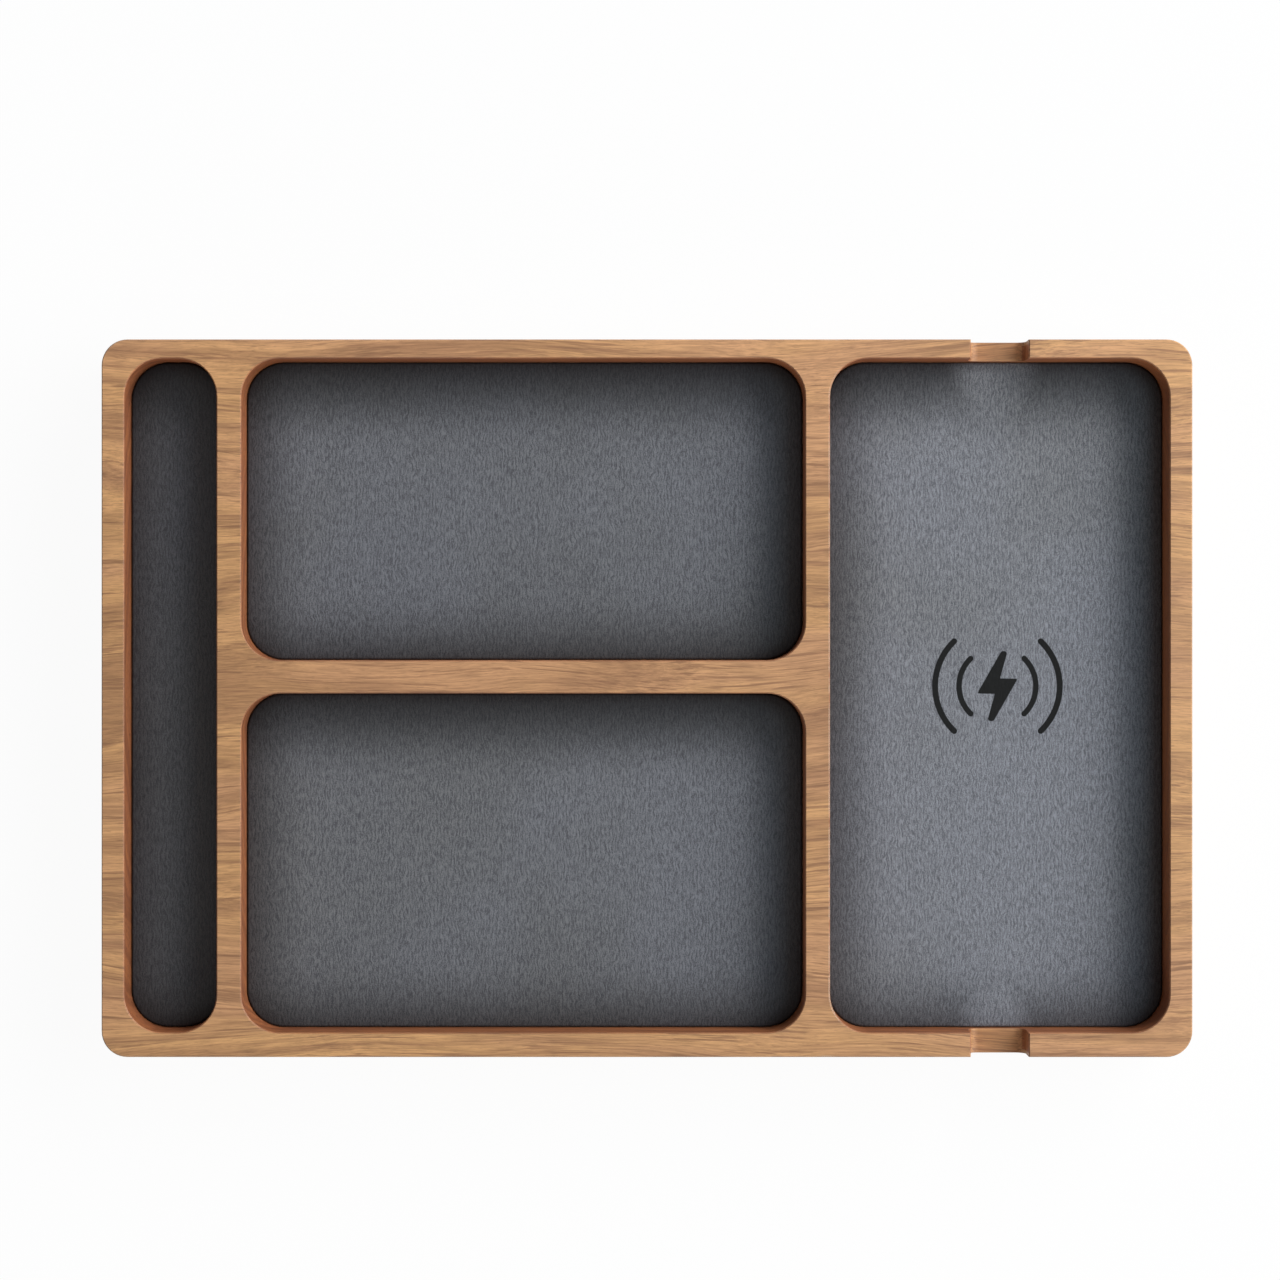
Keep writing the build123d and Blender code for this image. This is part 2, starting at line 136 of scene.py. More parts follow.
class WoodSettings(bpy.types.PropertyGroup):
    """Colours and grain of the tray's board"""

    light: as_color("Light wood", "Colour between the growth lines", (0.62, 0.338, 0.148))
    warm: as_color("Warm wood", "Colour of the redder patches", (0.57, 0.302, 0.15))
    streak: as_color("Streaks", "Colour of the darker growth lines", (0.27, 0.132, 0.066))
    pore: as_color("Pores", "Colour of the fine open pores", (0.2, 0.1, 0.05))
    # Painted shade: a darker, redder tint on the pocket walls and, in part, on the notch floors
    wall_shade: as_color("Pocket walls", "Tint of the walls, which drink more oil", (0.62, 0.4, 0.32))
    # Pale colour of the rubbed edges, partly wear and partly a painted highlight
    edge: as_color("Worn edges", "Colour where the edges are rubbed", (0.76, 0.6, 0.46))
    line_strength: as_share("Line strength", "How much the growth lines show", 0.6)
    late_strength: as_share("Late wood strength", "How much each ring's late wood shows", 0.18)
    streak_strength: as_share("Streak strength", "How much the thin streaks show", 0.72)
    pore_strength: as_share("Pore strength", "How much the pores show", 0.4)
    # Share of the painted wall shade on the notch floors
    notch_floor_shade: as_share("Notch floors", "How much of the walls' tint they take", 0.36)
    end_grain: as_share("End grain", "How much darker the faces across the grain are", 0.14)
    # The board is made lighter towards its rear edge
    paler_towards_rear: as_share("Sapwood", "How much paler the board is at its rear edge", 0.11)
    # Share of the edge wear and painted highlight on the other edges
    other_wear_and_highlight: as_share("Other wear", "Wear of the edges that phones don't slide over", 0.1)
    line_spacing: as_length("Line spacing", "Distance between growth lines", 3.4 * MM)
    heart_depth: as_length("Heart depth", "Depth of the log's heart below the table", 38 * MM)
    edge_width: as_length("Edge width", "How far in from an edge it is rubbed", 0.5 * MM)
    corner: as_length("Corner radius", "Radius of the tray's four corners", 7.2 * MM)
    roughness: as_share("Roughness", "Roughness of the oiled wood", 0.46)


class LeatherSettings(bpy.types.PropertyGroup):
    """Colour, grain and form of the leather linings"""

    face: as_color("Leather", "Colour of the leather's face", (0.194, 0.197, 0.203))
    cool: as_color("Cool patches", "Colour of the bluer patches", (0.187, 0.193, 0.213))
    crease: as_color("Creases", "Colour in the grain's creases", (0.07, 0.071, 0.08))
    # Painted light and shade: the pen slot's leather is made darker and the charging pocket's
    # brighter
    painted_pocket_light: FloatVectorProperty(
        name="Shades",
        description="Brightness of the leather in the pen, rear, front and charging pockets",
        default=(0.8, 1.0, 1.04, 1.34),
        size=4,
        min=0,
    )
    corner_radius: as_length("Corner radius", "Radius of a lining's corners", 10.55 * MM)
    edge_roll: as_length("Edge roll", "Radius of the fold over the board's edge", 0.7 * MM)
    crown: as_length("Crown", "How far the edges lie below the middle", 0.4 * MM)
    # Painted shade: how much darker the leather is made along each side, and how far in that
    # reaches
    shaded_margins: FloatVectorProperty(
        name="Margins",
        description="How much darker the leather is along its left, front, right and rear",
        default=(0.6, 0.6, 0.6, 0.76),
        size=4,
        min=0,
        max=1,
    )
    shaded_margin_widths: FloatVectorProperty(
        name="Margin widths",
        description="How far the darker margins reach in from the left, front, right and rear",
        default=(19 * MM, 19 * MM, 19 * MM, 25 * MM),
        size=4,
        unit="LENGTH",
    )
    # Painted light on the margins below the notches: how bright they stay there, and how far to
    # each side
    rubbed: as_share("Rubbed", "Least brightness of the margins at the notches", 0.9)
    notch_light_reach: as_length("Rubbed reach", "How far to each side that goes", 20 * MM)
    grain_width: as_length("Grain width", "Width of a stroke of the grain", 0.24 * MM)
    grain_length: as_length("Grain length", "Length of a stroke along the pocket", 1.8 * MM)
    column_pitch: as_length("Column pitch", "Distance between the grain's columns", 1.05 * MM)
    strokes: as_share("Strokes", "How much the grain's strokes stand out", 0.45)
    pores: as_share("Pores", "How much the pores between the strokes stand out", 0.55)
    columns: as_share("Columns", "How much the grain's columns stand out", 0.026)
    roughness: as_share("Roughness", "Roughness of the leather's face", 0.4)


class SignSettings(bpy.types.PropertyGroup):
    """The printed charging sign"""

    ink: as_color("Ink", "Colour of the print", (0.004, 0.0042, 0.0042))
    offset: FloatVectorProperty(
        name="Offset",
        description="The sign's centre, from the middle of the charging pocket",
        default=(0.62 * MM, 2.44 * MM),
        size=2,
        unit="LENGTH",
    )
    outer_radius: as_length("Outer radius", "Radius of the outer waves", 17.6 * MM)
    inner_radius: as_length("Inner radius", "Radius of the inner waves", 10.85 * MM)
    outer_stroke: as_length("Outer stroke", "Width of the outer waves", 1.67 * MM)
    inner_stroke: as_length("Inner stroke", "Width of the inner waves", 1.55 * MM)
    reach: FloatProperty(
        name="Reach",
        description="Half the angle that a wave spans",
        default=math.radians(46),
        subtype="ANGLE",
    )
    thickness: as_length("Thickness", "Thickness of the print", 0.03 * MM)


class UndersideSettings(bpy.types.PropertyGroup):
    """Finishes of the base panel, the screws, the feet and the lining boards"""

    panel: as_color("Base panel", "Colour of the base panel", (0.045, 0.035, 0.03))
    rubber: as_color("Feet", "Colour of the rubber feet", (0.02, 0.02, 0.02))
    steel: as_color("Screws", "Colour of the blackened screws", (0.12, 0.12, 0.12))
    board: as_color("Lining boards", "Colour of the boards under the leather", (0.12, 0.11, 0.1))


class ChargerSettings(bpy.types.PropertyGroup):
    """Finishes of the charger under the charging pocket"""

    carrier: as_color("Carrier", "Colour of the moulded carrier", (0.03, 0.03, 0.032))
    laminate: as_color("Circuit board", "Colour of the solder mask", (0.01, 0.09, 0.04))
    chip: as_color("Chips", "Colour of the moulded chips", (0.015, 0.015, 0.016))
    inductor: as_color("Inductor", "Colour of the pressed inductor", (0.09, 0.09, 0.095))
    ceramic: as_color("Capacitors", "Colour of the ceramic capacitors", (0.36, 0.24, 0.14))
    port: as_color("Port", "Colour of the drawn port shell", (0.6, 0.6, 0.62))
    plating: as_color("Contacts", "Colour of the plated contacts", (0.8, 0.6, 0.25))
    ferrite: as_color("Ferrite", "Colour of the ferrite plate", (0.025, 0.025, 0.027))
    copper: as_color("Coil", "Colour of the enamelled copper", (0.62, 0.25, 0.1))
    resin: as_color("Sensor", "Colour of the dipped sensor", (0.02, 0.02, 0.025))


class StageSettings(bpy.types.PropertyGroup):
    """Camera, lamps and floor"""

    camera_place: FloatVectorProperty(
        name="Camera place",
        description="Point of the table that the camera stands over",
        default=(-1.95 * MM, 16.23 * MM),
        size=2,
        unit="LENGTH",
    )
    camera_height: as_length("Camera height", "Height of the camera over the rim", 0.935)
    field: as_length("Field", "Width of the rim's plane that the picture shows", 0.35666)
    floor: as_color("Floor", "Colour of the floor", (0.9, 0.9, 0.9))
    floor_size: as_length("Floor size", "Length of the floor's sides", 6.0)
    key_power: as_power("Key", "The long soft lamp to the tray's right", 138.0)
    key_length: as_length("Key length", "Long side of the main lamp", 4.2)
    key_width: as_length("Key width", "Short side of the main lamp", 1.6)
    key_place: as_place("Key place", "Where the main lamp hangs", (2.15, 0.98, 1.47))
    key_color: as_color("Key colour", "Colour of the main lamp", (1.0, 1.0, 1.0))
    fill_power: as_power("Fill", "The weaker lamp, low in front of the tray", 12.4)
    fill_length: as_length("Fill length", "Long side of the weaker lamp", 2.4)
    fill_width: as_length("Fill width", "Short side of the weaker lamp", 0.9)
    fill_place: as_place("Fill place", "Where the weaker lamp hangs", (-0.2, -1.6, 0.6))
    fill_color: as_color("Fill colour", "Colour of the weaker lamp", (1.0, 0.97, 0.92))
    cool_power: as_power("Cool lamp", "The small cool lamp over the tray's right", 1.1)
    cool_length: as_length("Cool lamp length", "Long side of the cool lamp", 0.3)
    cool_width: as_length("Cool lamp width", "Short side of the cool lamp", 0.3)
    cool_place: as_place("Cool lamp place", "Where the cool lamp hangs", (0.42, 0.05, 0.75))
    cool_color: as_color("Cool lamp colour", "Colour of the cool lamp", (0.6, 0.82, 1.0))
    sky: as_color("Sky", "Colour of the soft light from all round", (0.92, 0.96, 1.0))
    sky_strength: FloatProperty(name="Sky strength", description="Soft light", default=0.02, min=0)


# Materials


class Nodes:
    """Short ways to add nodes to a shader tree."""

    def __init__(self, tree):
        self.tree = tree

    def add(self, kind, inputs=None, **settings):
        node = self.tree.nodes.new(kind)
        for name, value in settings.items():
            setattr(node, name, value)
        for key, value in (inputs or {}).items():
            self.put(node.inputs[key], value)
        return node

    def put(self, socket, value):
        if isinstance(value, bpy.types.NodeSocket):
            self.tree.links.new(value, socket)
        elif socket.type == "RGBA" and len(value) == 3:
            socket.default_value = (*value, 1.0)
        else:
            socket.default_value = value

    def filled(self, node, values):
        for socket, value in zip(node.inputs, values):
            self.put(socket, value)
        return node

    def math(self, operation, *values):
        return self.filled(self.add("ShaderNodeMath", operation=operation), values).outputs[0]

    def vector(self, operation, *values):
        node = self.filled(self.add("ShaderNodeVectorMath", operation=operation), values)
        return node.outputs["Value" if operation in ("DOT_PRODUCT", "LENGTH") else "Vector"]

    def joined(self, x=0.0, y=0.0, z=0.0):
        return self.filled(self.add("ShaderNodeCombineXYZ"), (x, y, z)).outputs[0]

    def part(self, vector, axis):
        return self.add("ShaderNodeSeparateXYZ", {"Vector": vector}).outputs[axis]

    def normal(self):
        return self.add("ShaderNodeNewGeometry").outputs["Normal"]

    def shaded(self, tone, shade):
        """Makes a colour brighter or darker, all its parts alike."""
        return self.vector("MULTIPLY", tone, self.joined(shade, shade, shade))

    def span(self, value, low, high, start=0.0, end=1.0):
        """Carries a value smoothly from one range to another."""
        node = self.add("ShaderNodeMapRange", interpolation_type="SMOOTHSTEP")
        return self.filled(node, (value, low, high, start, end)).outputs[0]

    def mix(self, factor, first, second, blend="MIX"):
        node = self.add("ShaderNodeMix", data_type="RGBA", blend_type=blend)
        factors = [socket for socket in node.inputs if socket.type == "VALUE"]
        colors = [socket for socket in node.inputs if socket.type == "RGBA"]
        for socket, value in zip((factors[0], *colors), (factor, first, second)):
            self.put(socket, value)
        return next(socket for socket in node.outputs if socket.type == "RGBA")

    def stretched(self, vector, scale, shift=(0.0, 0.0, 0.0)):
        """Scales a place for a noise, and shifts it so that like noises don't line up."""
        inputs = {"Vector": vector, "Location": shift, "Scale": scale}
        return self.add("ShaderNodeMapping", inputs).outputs[0]

    def noise(self, vector, detail=2.0, roughness=0.5, output="Fac"):
        inputs = {"Vector": vector, "Scale": 1.0, "Detail": detail, "Roughness": roughness}
        return self.add("ShaderNodeTexNoise", inputs).outputs[output]

    def bump(self, height, distance, strength):
        inputs = {"Height": height, "Distance": distance, "Strength": strength}
        return self.add("ShaderNodeBump", inputs).outputs[0]

    def blended(self, factor, first, second):
        """Mixes two shaders."""
        return self.add("ShaderNodeMixShader", {0: factor, 1: first, 2: second}).outputs[0]

    def group(self, name, **inputs):
        """Places a shared group, which is built the first time that it is asked for."""
        tree = bpy.data.node_groups.get(name) or GROUPS[name](name)
        node = self.add("ShaderNodeGroup", node_tree=tree)
        for key, value in inputs.items():
            self.put(node.inputs[key], value)
        return node.outputs


def new_group(name, inputs, outputs):
    """A shader node group, with the sockets that its nodes read from and write to."""
    tree = bpy.data.node_groups.new(name, "ShaderNodeTree")
    number = "NodeSocketFloat"
    for socket_name, default in inputs.items():
        socket = tree.interface.new_socket(socket_name, in_out="INPUT", socket_type=number)
        socket.default_value = default
    for socket_name in outputs:
        tree.interface.new_socket(socket_name, in_out="OUTPUT", socket_type=number)
    nodes = Nodes(tree)
    given = nodes.add("NodeGroupInput").outputs
    return nodes, given, nodes.add("NodeGroupOutput").inputs


def surface_grain(name):
    """Broad patches and a fine grain, from the size of a grain in metres."""
    nodes, given, result = new_group(name, {"Size": 0.5 * MM, "Seed": 0.0}, ("Patches", "Grain"))
    place = nodes.add("ShaderNodeTexCoord").outputs["Object"]
    size = nodes.joined(given["Size"], given["Size"], given["Size"])
    fine = nodes.vector("ADD", nodes.vector("DIVIDE", place, size), nodes.joined(given["Seed"]))
    broad = nodes.vector("MULTIPLY", fine, (0.05, 0.05, 0.05))
    patches = nodes.noise(broad, detail=3.0, roughness=0.55)
    nodes.put(result["Patches"], nodes.span(patches, 0.32, 0.68))
    nodes.put(result["Grain"], nodes.noise(fine, detail=4.0, roughness=0.6))
    return nodes.tree


def edge_wear(name):
    """A mask of rubbed edges, broken up along their length."""
    nodes, given, result = new_group(name, {"Radius": 0.4 * MM, "Spread": 4 * MM}, ("Mask",))
    rounded = nodes.add("ShaderNodeBevel", {"Radius": given["Radius"]}, samples=6).outputs[0]
    bend = nodes.math("SUBTRACT", 1.0, nodes.vector("DOT_PRODUCT", rounded, nodes.normal()))
    place = nodes.add("ShaderNodeTexCoord").outputs["Object"]
    spread = nodes.joined(given["Spread"], given["Spread"], given["Spread"])
    uneven = nodes.noise(nodes.vector("DIVIDE", place, spread), detail=3.0, roughness=0.6)
    rubbed = nodes.math("MULTIPLY", nodes.span(bend, 0.01, 0.1), nodes.span(uneven, 0.25, 0.55))
    nodes.put(result["Mask"], rubbed)
    return nodes.tree


GROUPS = {"surface_grain": surface_grain, "edge_wear": edge_wear}


def new_material(name):
    """A material, with its nodes, its shader's sockets and the place on the object."""
    material = bpy.data.materials.new(name)
    material.use_nodes = True
    nodes = Nodes(material.node_tree)
    shader = material.node_tree.nodes["Principled BSDF"].inputs
    return material, nodes, shader, nodes.add("ShaderNodeTexCoord").outputs["Object"]


class Finish(NamedTuple):
    """A plain finish of some CAD nodes, in a colour that the settings hold."""

    name: str
    color: str
    nodes: tuple
    roughness: float
    grain_size: float
    metallic: float = 0.0
    wear: float = 0.2


UNDERSIDE_FINISHES = (
    Finish("lacquered_panel", "panel", ("base_panel",), roughness=0.5, grain_size=0.3 * MM),
    Finish(
        "blackened_steel",
        "steel",
        SCREWS,
        roughness=0.38,
        grain_size=0.2 * MM,
        metallic=0.9,
        wear=0.6,
    ),
    Finish("foot_rubber", "rubber", FEET, roughness=0.75, grain_size=0.15 * MM),
    Finish("grey_board", "board", LINING_BOARDS, roughness=0.85, grain_size=0.4 * MM),
)
CHARGER_FINISHES = (
    Finish(
        "carrier_plastic", "carrier", ("charger_carrier",), roughness=0.6, grain_size=0.12 * MM
    ),
    Finish("solder_mask", "laminate", ("circuit_board",), roughness=0.35, grain_size=0.3 * MM),
    Finish(
        "chip_plastic",
        "chip",
        ("controller_chip", "bridge_transistors", "port_tongue"),
        roughness=0.55,
        grain_size=0.08 * MM,
    ),
    Finish(
        "pressed_powder",
        "inductor",
        ("power_inductor",),
        roughness=0.6,
        grain_size=0.15 * MM,
        metallic=0.3,
    ),
    Finish(
        "fired_ceramic", "ceramic", ("resonant_capacitors",), roughness=0.35, grain_size=0.1 * MM
    ),
    Finish(
        "drawn_steel", "port", ("port_shell",), roughness=0.28, grain_size=0.1 * MM, metallic=1.0
    ),
    Finish(
        "gold_plating",
        "plating",
        ("port_contacts",),
        roughness=0.25,
        grain_size=0.05 * MM,
        metallic=1.0,
    ),
    Finish("sintered_ferrite", "ferrite", ("ferrite_plate",), roughness=0.7, grain_size=0.2 * MM),
    Finish(
        "enamelled_copper",
        "copper",
        ("charging_coil", "sensor_leads"),
        roughness=0.3,
        grain_size=0.1 * MM,
        metallic=0.9,
    ),
    Finish("dipped_resin", "resin", ("temperature_sensor",), roughness=0.25, grain_size=0.3 * MM),
)


def plain_material(finish, base):
    """A moulded, pressed, plated or painted finish with patches, grain and rubbed edges."""
    material, nodes, shader, _ = new_material(finish.name)
    # Names of different lengths give most finishes patches of their own.
    seed = float(len(finish.name))
    grain = nodes.group("surface_grain", Size=finish.grain_size, Seed=seed)
    worn = nodes.group("edge_wear", Radius=0.15 * MM)["Mask"]
    deep, bright = [0.84 * c for c in base], [min(1.14 * c, 1.0) for c in base]
    pale = [min(2.2 * c + 0.02, 1.0) for c in base]
    tone = nodes.mix(grain["Patches"], deep, bright)
    tone = nodes.mix(nodes.math("MULTIPLY", worn, finish.wear), tone, pale)
    rough = nodes.span(grain["Grain"], 0.3, 0.7, finish.roughness - 0.06, finish.roughness + 0.08)
    relief = nodes.bump(grain["Grain"], distance=0.1 * finish.grain_size, strength=0.5)
    nodes.put(shader["Base Color"], tone)
    nodes.put(shader["Roughness"], rough)
    nodes.put(shader["Normal"], relief)
    shader["Metallic"].default_value = finish.metallic
    return material


def wood_tone(nodes, place, settings):
    """The wood's colour and the height of its fibres. The growth rings run along X."""
    sway = nodes.noise(nodes.stretched(place, SWAY_SCALE), output="Color")
    drift = nodes.vector("SUBTRACT", sway, (0.5, 0.5, 0.5))
    aside = nodes.vector("MULTIPLY", drift, (0.0, SWAY_WIDTH, SWAY_WIDTH))
    bent = nodes.vector("ADD", place, aside)
    heart = nodes.stretched(bent, (0.0, 1.0, 1.0), (0.0, -HEART_BEHIND, settings.heart_depth))
    rings = nodes.math("DIVIDE", nodes.vector("LENGTH", heart), settings.line_spacing)
    along = nodes.math("MULTIPLY", nodes.part(bent, "X"), LINE_SCALE)
    lines = nodes.noise(nodes.joined(along, rings), detail=4.0, roughness=0.62)
    late = nodes.math("POWER", nodes.math("FRACT", rings), 3.0)

    patches = nodes.noise(nodes.stretched(bent, PATCH_SCALE, (4.0, 0.0, 0.0)))
    streaks = nodes.stretched(bent, STREAK_SCALE, (0.0, 3.0, 0.0))
    streaks = nodes.noise(streaks, detail=3.0, roughness=0.6)
    fibres = nodes.noise(nodes.stretched(bent, FIBRE_SCALE), detail=4.0, roughness=0.65)
    pores = nodes.noise(nodes.stretched(bent, PORE_SCALE, (0.0, 9.0, 0.0)), detail=1.0)

    tone = nodes.mix(nodes.span(patches, 0.38, 0.62), settings.light, settings.warm)
    for mask in (
        nodes.math("MULTIPLY", nodes.span(lines, 0.42, 0.64), settings.line_strength),
        nodes.span(streaks, 0.54, 0.65, end=settings.streak_strength),
        nodes.math("MULTIPLY", late, settings.late_strength),
    ):
        tone = nodes.mix(mask, tone, settings.streak)
    tone = nodes.shaded(tone, nodes.span(fibres, 0.3, 0.7, start=0.77, end=1.2))
    open_pore = nodes.math("MULTIPLY", nodes.span(pores, 0.6, 0.72), settings.pore_strength)
    return nodes.mix(open_pore, tone, settings.pore), fibres


def recess_shade_mask(nodes, place, corner, notch_floor_shade):
    """A mask of where the recesses' painted shade goes: the pockets' walls in full, the notches'
    floors in part.
    """
    middle = (tray_high.x - corner, tray_high.y - corner, 1.0)
    past = nodes.vector("SUBTRACT", nodes.vector("ABSOLUTE", place), middle)
    reach = nodes.vector("LENGTH", nodes.vector("MAXIMUM", past, (0.0, 0.0, 0.0)))
    inside = nodes.math("LESS_THAN", reach, corner - 1 * MM)
    steep = nodes.span(nodes.part(nodes.normal(), "Z"), 0.6, 0.87, start=1.0, end=0.0)
    walls = nodes.math("MULTIPLY", steep, inside)
    low = nodes.math("LESS_THAN", nodes.part(place, "Z"), tray_high.z - 2 * MM)
    floors = nodes.math("MULTIPLY", low, nodes.math("SUBTRACT", 1.0, steep))
    return nodes.math("MAXIMUM", walls, nodes.math("MULTIPLY", floors, notch_floor_shade))


def end_grain(nodes, tone, share_darker):
    """Darkens the faces across the grain, which drink more oil."""
    across = nodes.math("ABSOLUTE", nodes.part(nodes.normal(), "X"))
    return nodes.shaded(tone, nodes.span(across, 0.35, 0.9, start=1.0, end=1 - share_darker))


def paler_towards_rear(nodes, place, tone, share_paler):
    """Lightens the wood towards the tray's rear edge."""
    rear = nodes.span(nodes.part(place, "Y"), 20 * MM, 95 * MM, start=1.0, end=1 + share_paler)
    return nodes.shaded(tone, rear)


def distance_aside(nodes, place, x):
    """How far to the left or right of x a place is."""
    return nodes.math("ABSOLUTE", nodes.math("SUBTRACT", nodes.part(place, "X"), x))


def worn_and_highlit_edges(nodes, place, settings):
    """A mask of worn edges that also carries a painted highlight, most of all along the charging
    pocket's left edge.
    """
    worn = nodes.group("edge_wear", Radius=settings.edge_width)["Mask"]
    aside = distance_aside(nodes, place, charging_low.x)
    use = nodes.span(aside, 1 * MM, 4 * MM, start=1.0, end=settings.other_wear_and_highlight)
    return nodes.math("MULTIPLY", worn, use)


def wood_material(settings):
    material, nodes, shader, place = new_material("oiled_oak")
    tone, fibres = wood_tone(nodes, place, settings)
    tone = end_grain(nodes, tone, settings.end_grain)
    tone = paler_towards_rear(nodes, place, tone, settings.paler_towards_rear)
    # Painted shade on the pocket walls and notch floors
    routed = recess_shade_mask(nodes, place, settings.corner, settings.notch_floor_shade)
    tone = nodes.mix(routed, tone, nodes.mix(1.0, tone, settings.wall_shade, "MULTIPLY"))
    # Wear and a painted highlight on the edges, mostly at the charging pocket's left edge
    worn = worn_and_highlit_edges(nodes, place, settings)
    rough = nodes.span(fibres, 0.3, 0.7, settings.roughness - 0.05, settings.roughness + 0.07)
    smoother = nodes.span(worn, 0.0, 1.0, start=1.0, end=0.6)
    nodes.put(shader["Base Color"], nodes.mix(worn, tone, settings.edge))
    nodes.put(shader["Roughness"], nodes.math("MULTIPLY", rough, smoother))
    nodes.put(shader["Normal"], nodes.bump(fibres, distance=0.05 * MM, strength=0.5))
    shader["Specular IOR Level"].default_value = 0.4
    return material


def leather_grain(nodes, place, settings):
    """Wavy strokes and columns along the pocket with pores between them, as a height."""
    width, reach = 1 / settings.grain_width, 1 / settings.grain_length
    sway = nodes.noise(nodes.stretched(place, COLUMN_SWAY_SCALE))
    aside = nodes.joined(nodes.math("MULTIPLY", sway, COLUMN_SWAY))
    bent = nodes.vector("ADD", place, aside)
    strokes = nodes.noise(nodes.stretched(bent, (width, reach, width)), detail=1.0)
    pores = nodes.stretched(place, (width, 0.7 * width, width), (5.0, 0.0, 0.0))
    pores = nodes.noise(pores, detail=3.0, roughness=0.6)
    turns = nodes.math("MULTIPLY", nodes.part(bent, "X"), math.tau / settings.column_pitch)
    columns = nodes.math("MULTIPLY", nodes.math("SINE", turns), settings.columns)
    height = nodes.math("ADD", nodes.math("MULTIPLY", strokes, settings.strokes), columns)
    return nodes.math("ADD", height, nodes.math("MULTIPLY", pores, settings.pores))


def painted_notch_light(nodes, place, settings):
    """Painted light where light comes in through the notches: the lowest brightness of the margins
    below them.
    """
    aside = distance_aside(nodes, place, charging_middle.x)
    return nodes.span(aside, 2 * MM, settings.notch_light_reach, start=settings.rubbed, end=0.0)


def painted_margin_shade(nodes, settings, notch_light_least):
    """A factor of painted shade that falls off towards the four sides; at the front and rear,
    painted notch light keeps it above a lowest value.
    """
    sides = [(corner, axis) for corner in LINING_CORNERS for axis in "XY"]
    factor = 1.0
    for (corner, axis), margin, width in zip(sides, settings.shaded_margins, settings.shaded_margin_widths):
        reach = nodes.add("ShaderNodeUVMap", uv_map=corner).outputs["UV"]
        shade = nodes.span(nodes.part(reach, axis), 0.0, width, start=1 - margin)
        if axis == "Y":
            shade = nodes.math("MAXIMUM", shade, notch_light_least)
        factor = nodes.math("MULTIPLY", factor, shade)
    return factor


def leather_material(settings, pocket, brightness):
    material, nodes, shader, place = new_material(f"{pocket}_grained_leather")
    colors = (settings.face, settings.cool, settings.crease)
    # Each pocket's copy of the leather is made brighter or darker as painted light and shade
    face, cool, crease = [[brightness * c for c in color] for color in colors]
    height = leather_grain(nodes, place, settings)
    grain = nodes.group("surface_grain", Size=4 * MM)
    tone = nodes.mix(grain["Patches"], face, cool)
    tone = nodes.mix(nodes.span(height, 0.37, 0.63), crease, tone)
    # Painted light below the charging pocket's notches
    notch_light_least = painted_notch_light(nodes, place, settings) if pocket == "charging" else 0.0
    # Painted shade, darker towards the leather's sides
    shaded_margins = painted_margin_shade(nodes, settings, notch_light_least)
    uneven = nodes.span(grain["Patches"], 0.0, 1.0, start=0.92, end=1.06)
    rough = nodes.span(height, 0.34, 0.66, settings.roughness + 0.12, settings.roughness)
    nodes.put(shader["Base Color"], nodes.shaded(tone, nodes.math("MULTIPLY", uneven, shaded_margins)))
    nodes.put(shader["Roughness"], rough)
    nodes.put(shader["Normal"], nodes.bump(height, distance=0.08 * MM, strength=0.7))
    shader["Specular IOR Level"].default_value = 0.25
    return material


def ink_material(settings, leather_settings):
    """Ink that has sunk into the leather's grain."""
    material, nodes, shader, place = new_material("printed_ink")
    height = leather_grain(nodes, place, leather_settings)
    thin = [2.2 * c for c in settings.ink]
    tone = nodes.mix(nodes.span(height, 0.45, 0.7, end=0.5), settings.ink, thin)
    rough = nodes.span(height, 0.34, 0.66, start=0.78, end=0.66)
    nodes.put(shader["Base Color"], tone)
    nodes.put(shader["Roughness"], rough)
    nodes.put(shader["Normal"], nodes.bump(height, distance=0.04 * MM, strength=0.4))
    shader["Specular IOR Level"].default_value = 0.15
    return material


# Shapes


def bevelled(bm, geom, offset, segments, affect):
    """Rounds verts or edges."""
    bmesh.ops.bevel(
        bm,
        geom=geom,
        offset=offset,
        segments=segments,
        profile=0.5,
        affect=affect,
        material=-1,
    )


def rounded_outline(bm, low, high, radius, segments):
    """A flat face at the height of low, with rounded corners."""
    corners = ((low.x, low.y), (high.x, low.y), (high.x, high.y), (low.x, high.y))
    verts = [bm.verts.new((x, y, low.z)) for x, y in corners]
    bm.faces.new(verts)
    bevelled(bm, verts, radius, segments, "VERTICES")
    return bm.faces[:]


def raised(bm, faces, height):
    """Extrudes faces straight up and gives back the top ones."""
    made = bmesh.ops.extrude_face_region(bm, geom=faces)["geom"]
    verts = [item for item in made if isinstance(item, bmesh.types.BMVert)]
    bmesh.ops.translate(bm, verts=verts, vec=(0, 0, height))
    return [item for item in made if isinstance(item, bmesh.types.BMFace)]


def finished_object(name, bm, material, replaced=None):
    """Turns a bmesh into a piece of the tray, smooth where it is round."""
    bmesh.ops.remove_doubles(bm, verts=bm.verts, dist=MERGE_DISTANCE)
    bmesh.ops.recalc_face_normals(bm, faces=bm.faces)
    mesh = bpy.data.meshes.new(name)
    bm.to_mesh(mesh)
    bm.free()
    mesh.materials.append(material)
    mesh.shade_smooth()
    mesh.set_sharp_from_angle(angle=SMOOTH_ANGLE)
    piece = bpy.data.objects.new(name, mesh)
    bpy.context.scene.collection.objects.link(piece)
    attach(piece, "root")
    if replaced:
        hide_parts(replaced)
    return piece


def inset(bm, faces, width, rise=0.0):
    """Sets faces in from their outline, and raises them along their normals."""
    bmesh.ops.inset_region(
        bm,
        faces=faces,
        thickness=width,
        depth=rise,
        use_boundary=True,
        use_even_offset=True,
    )


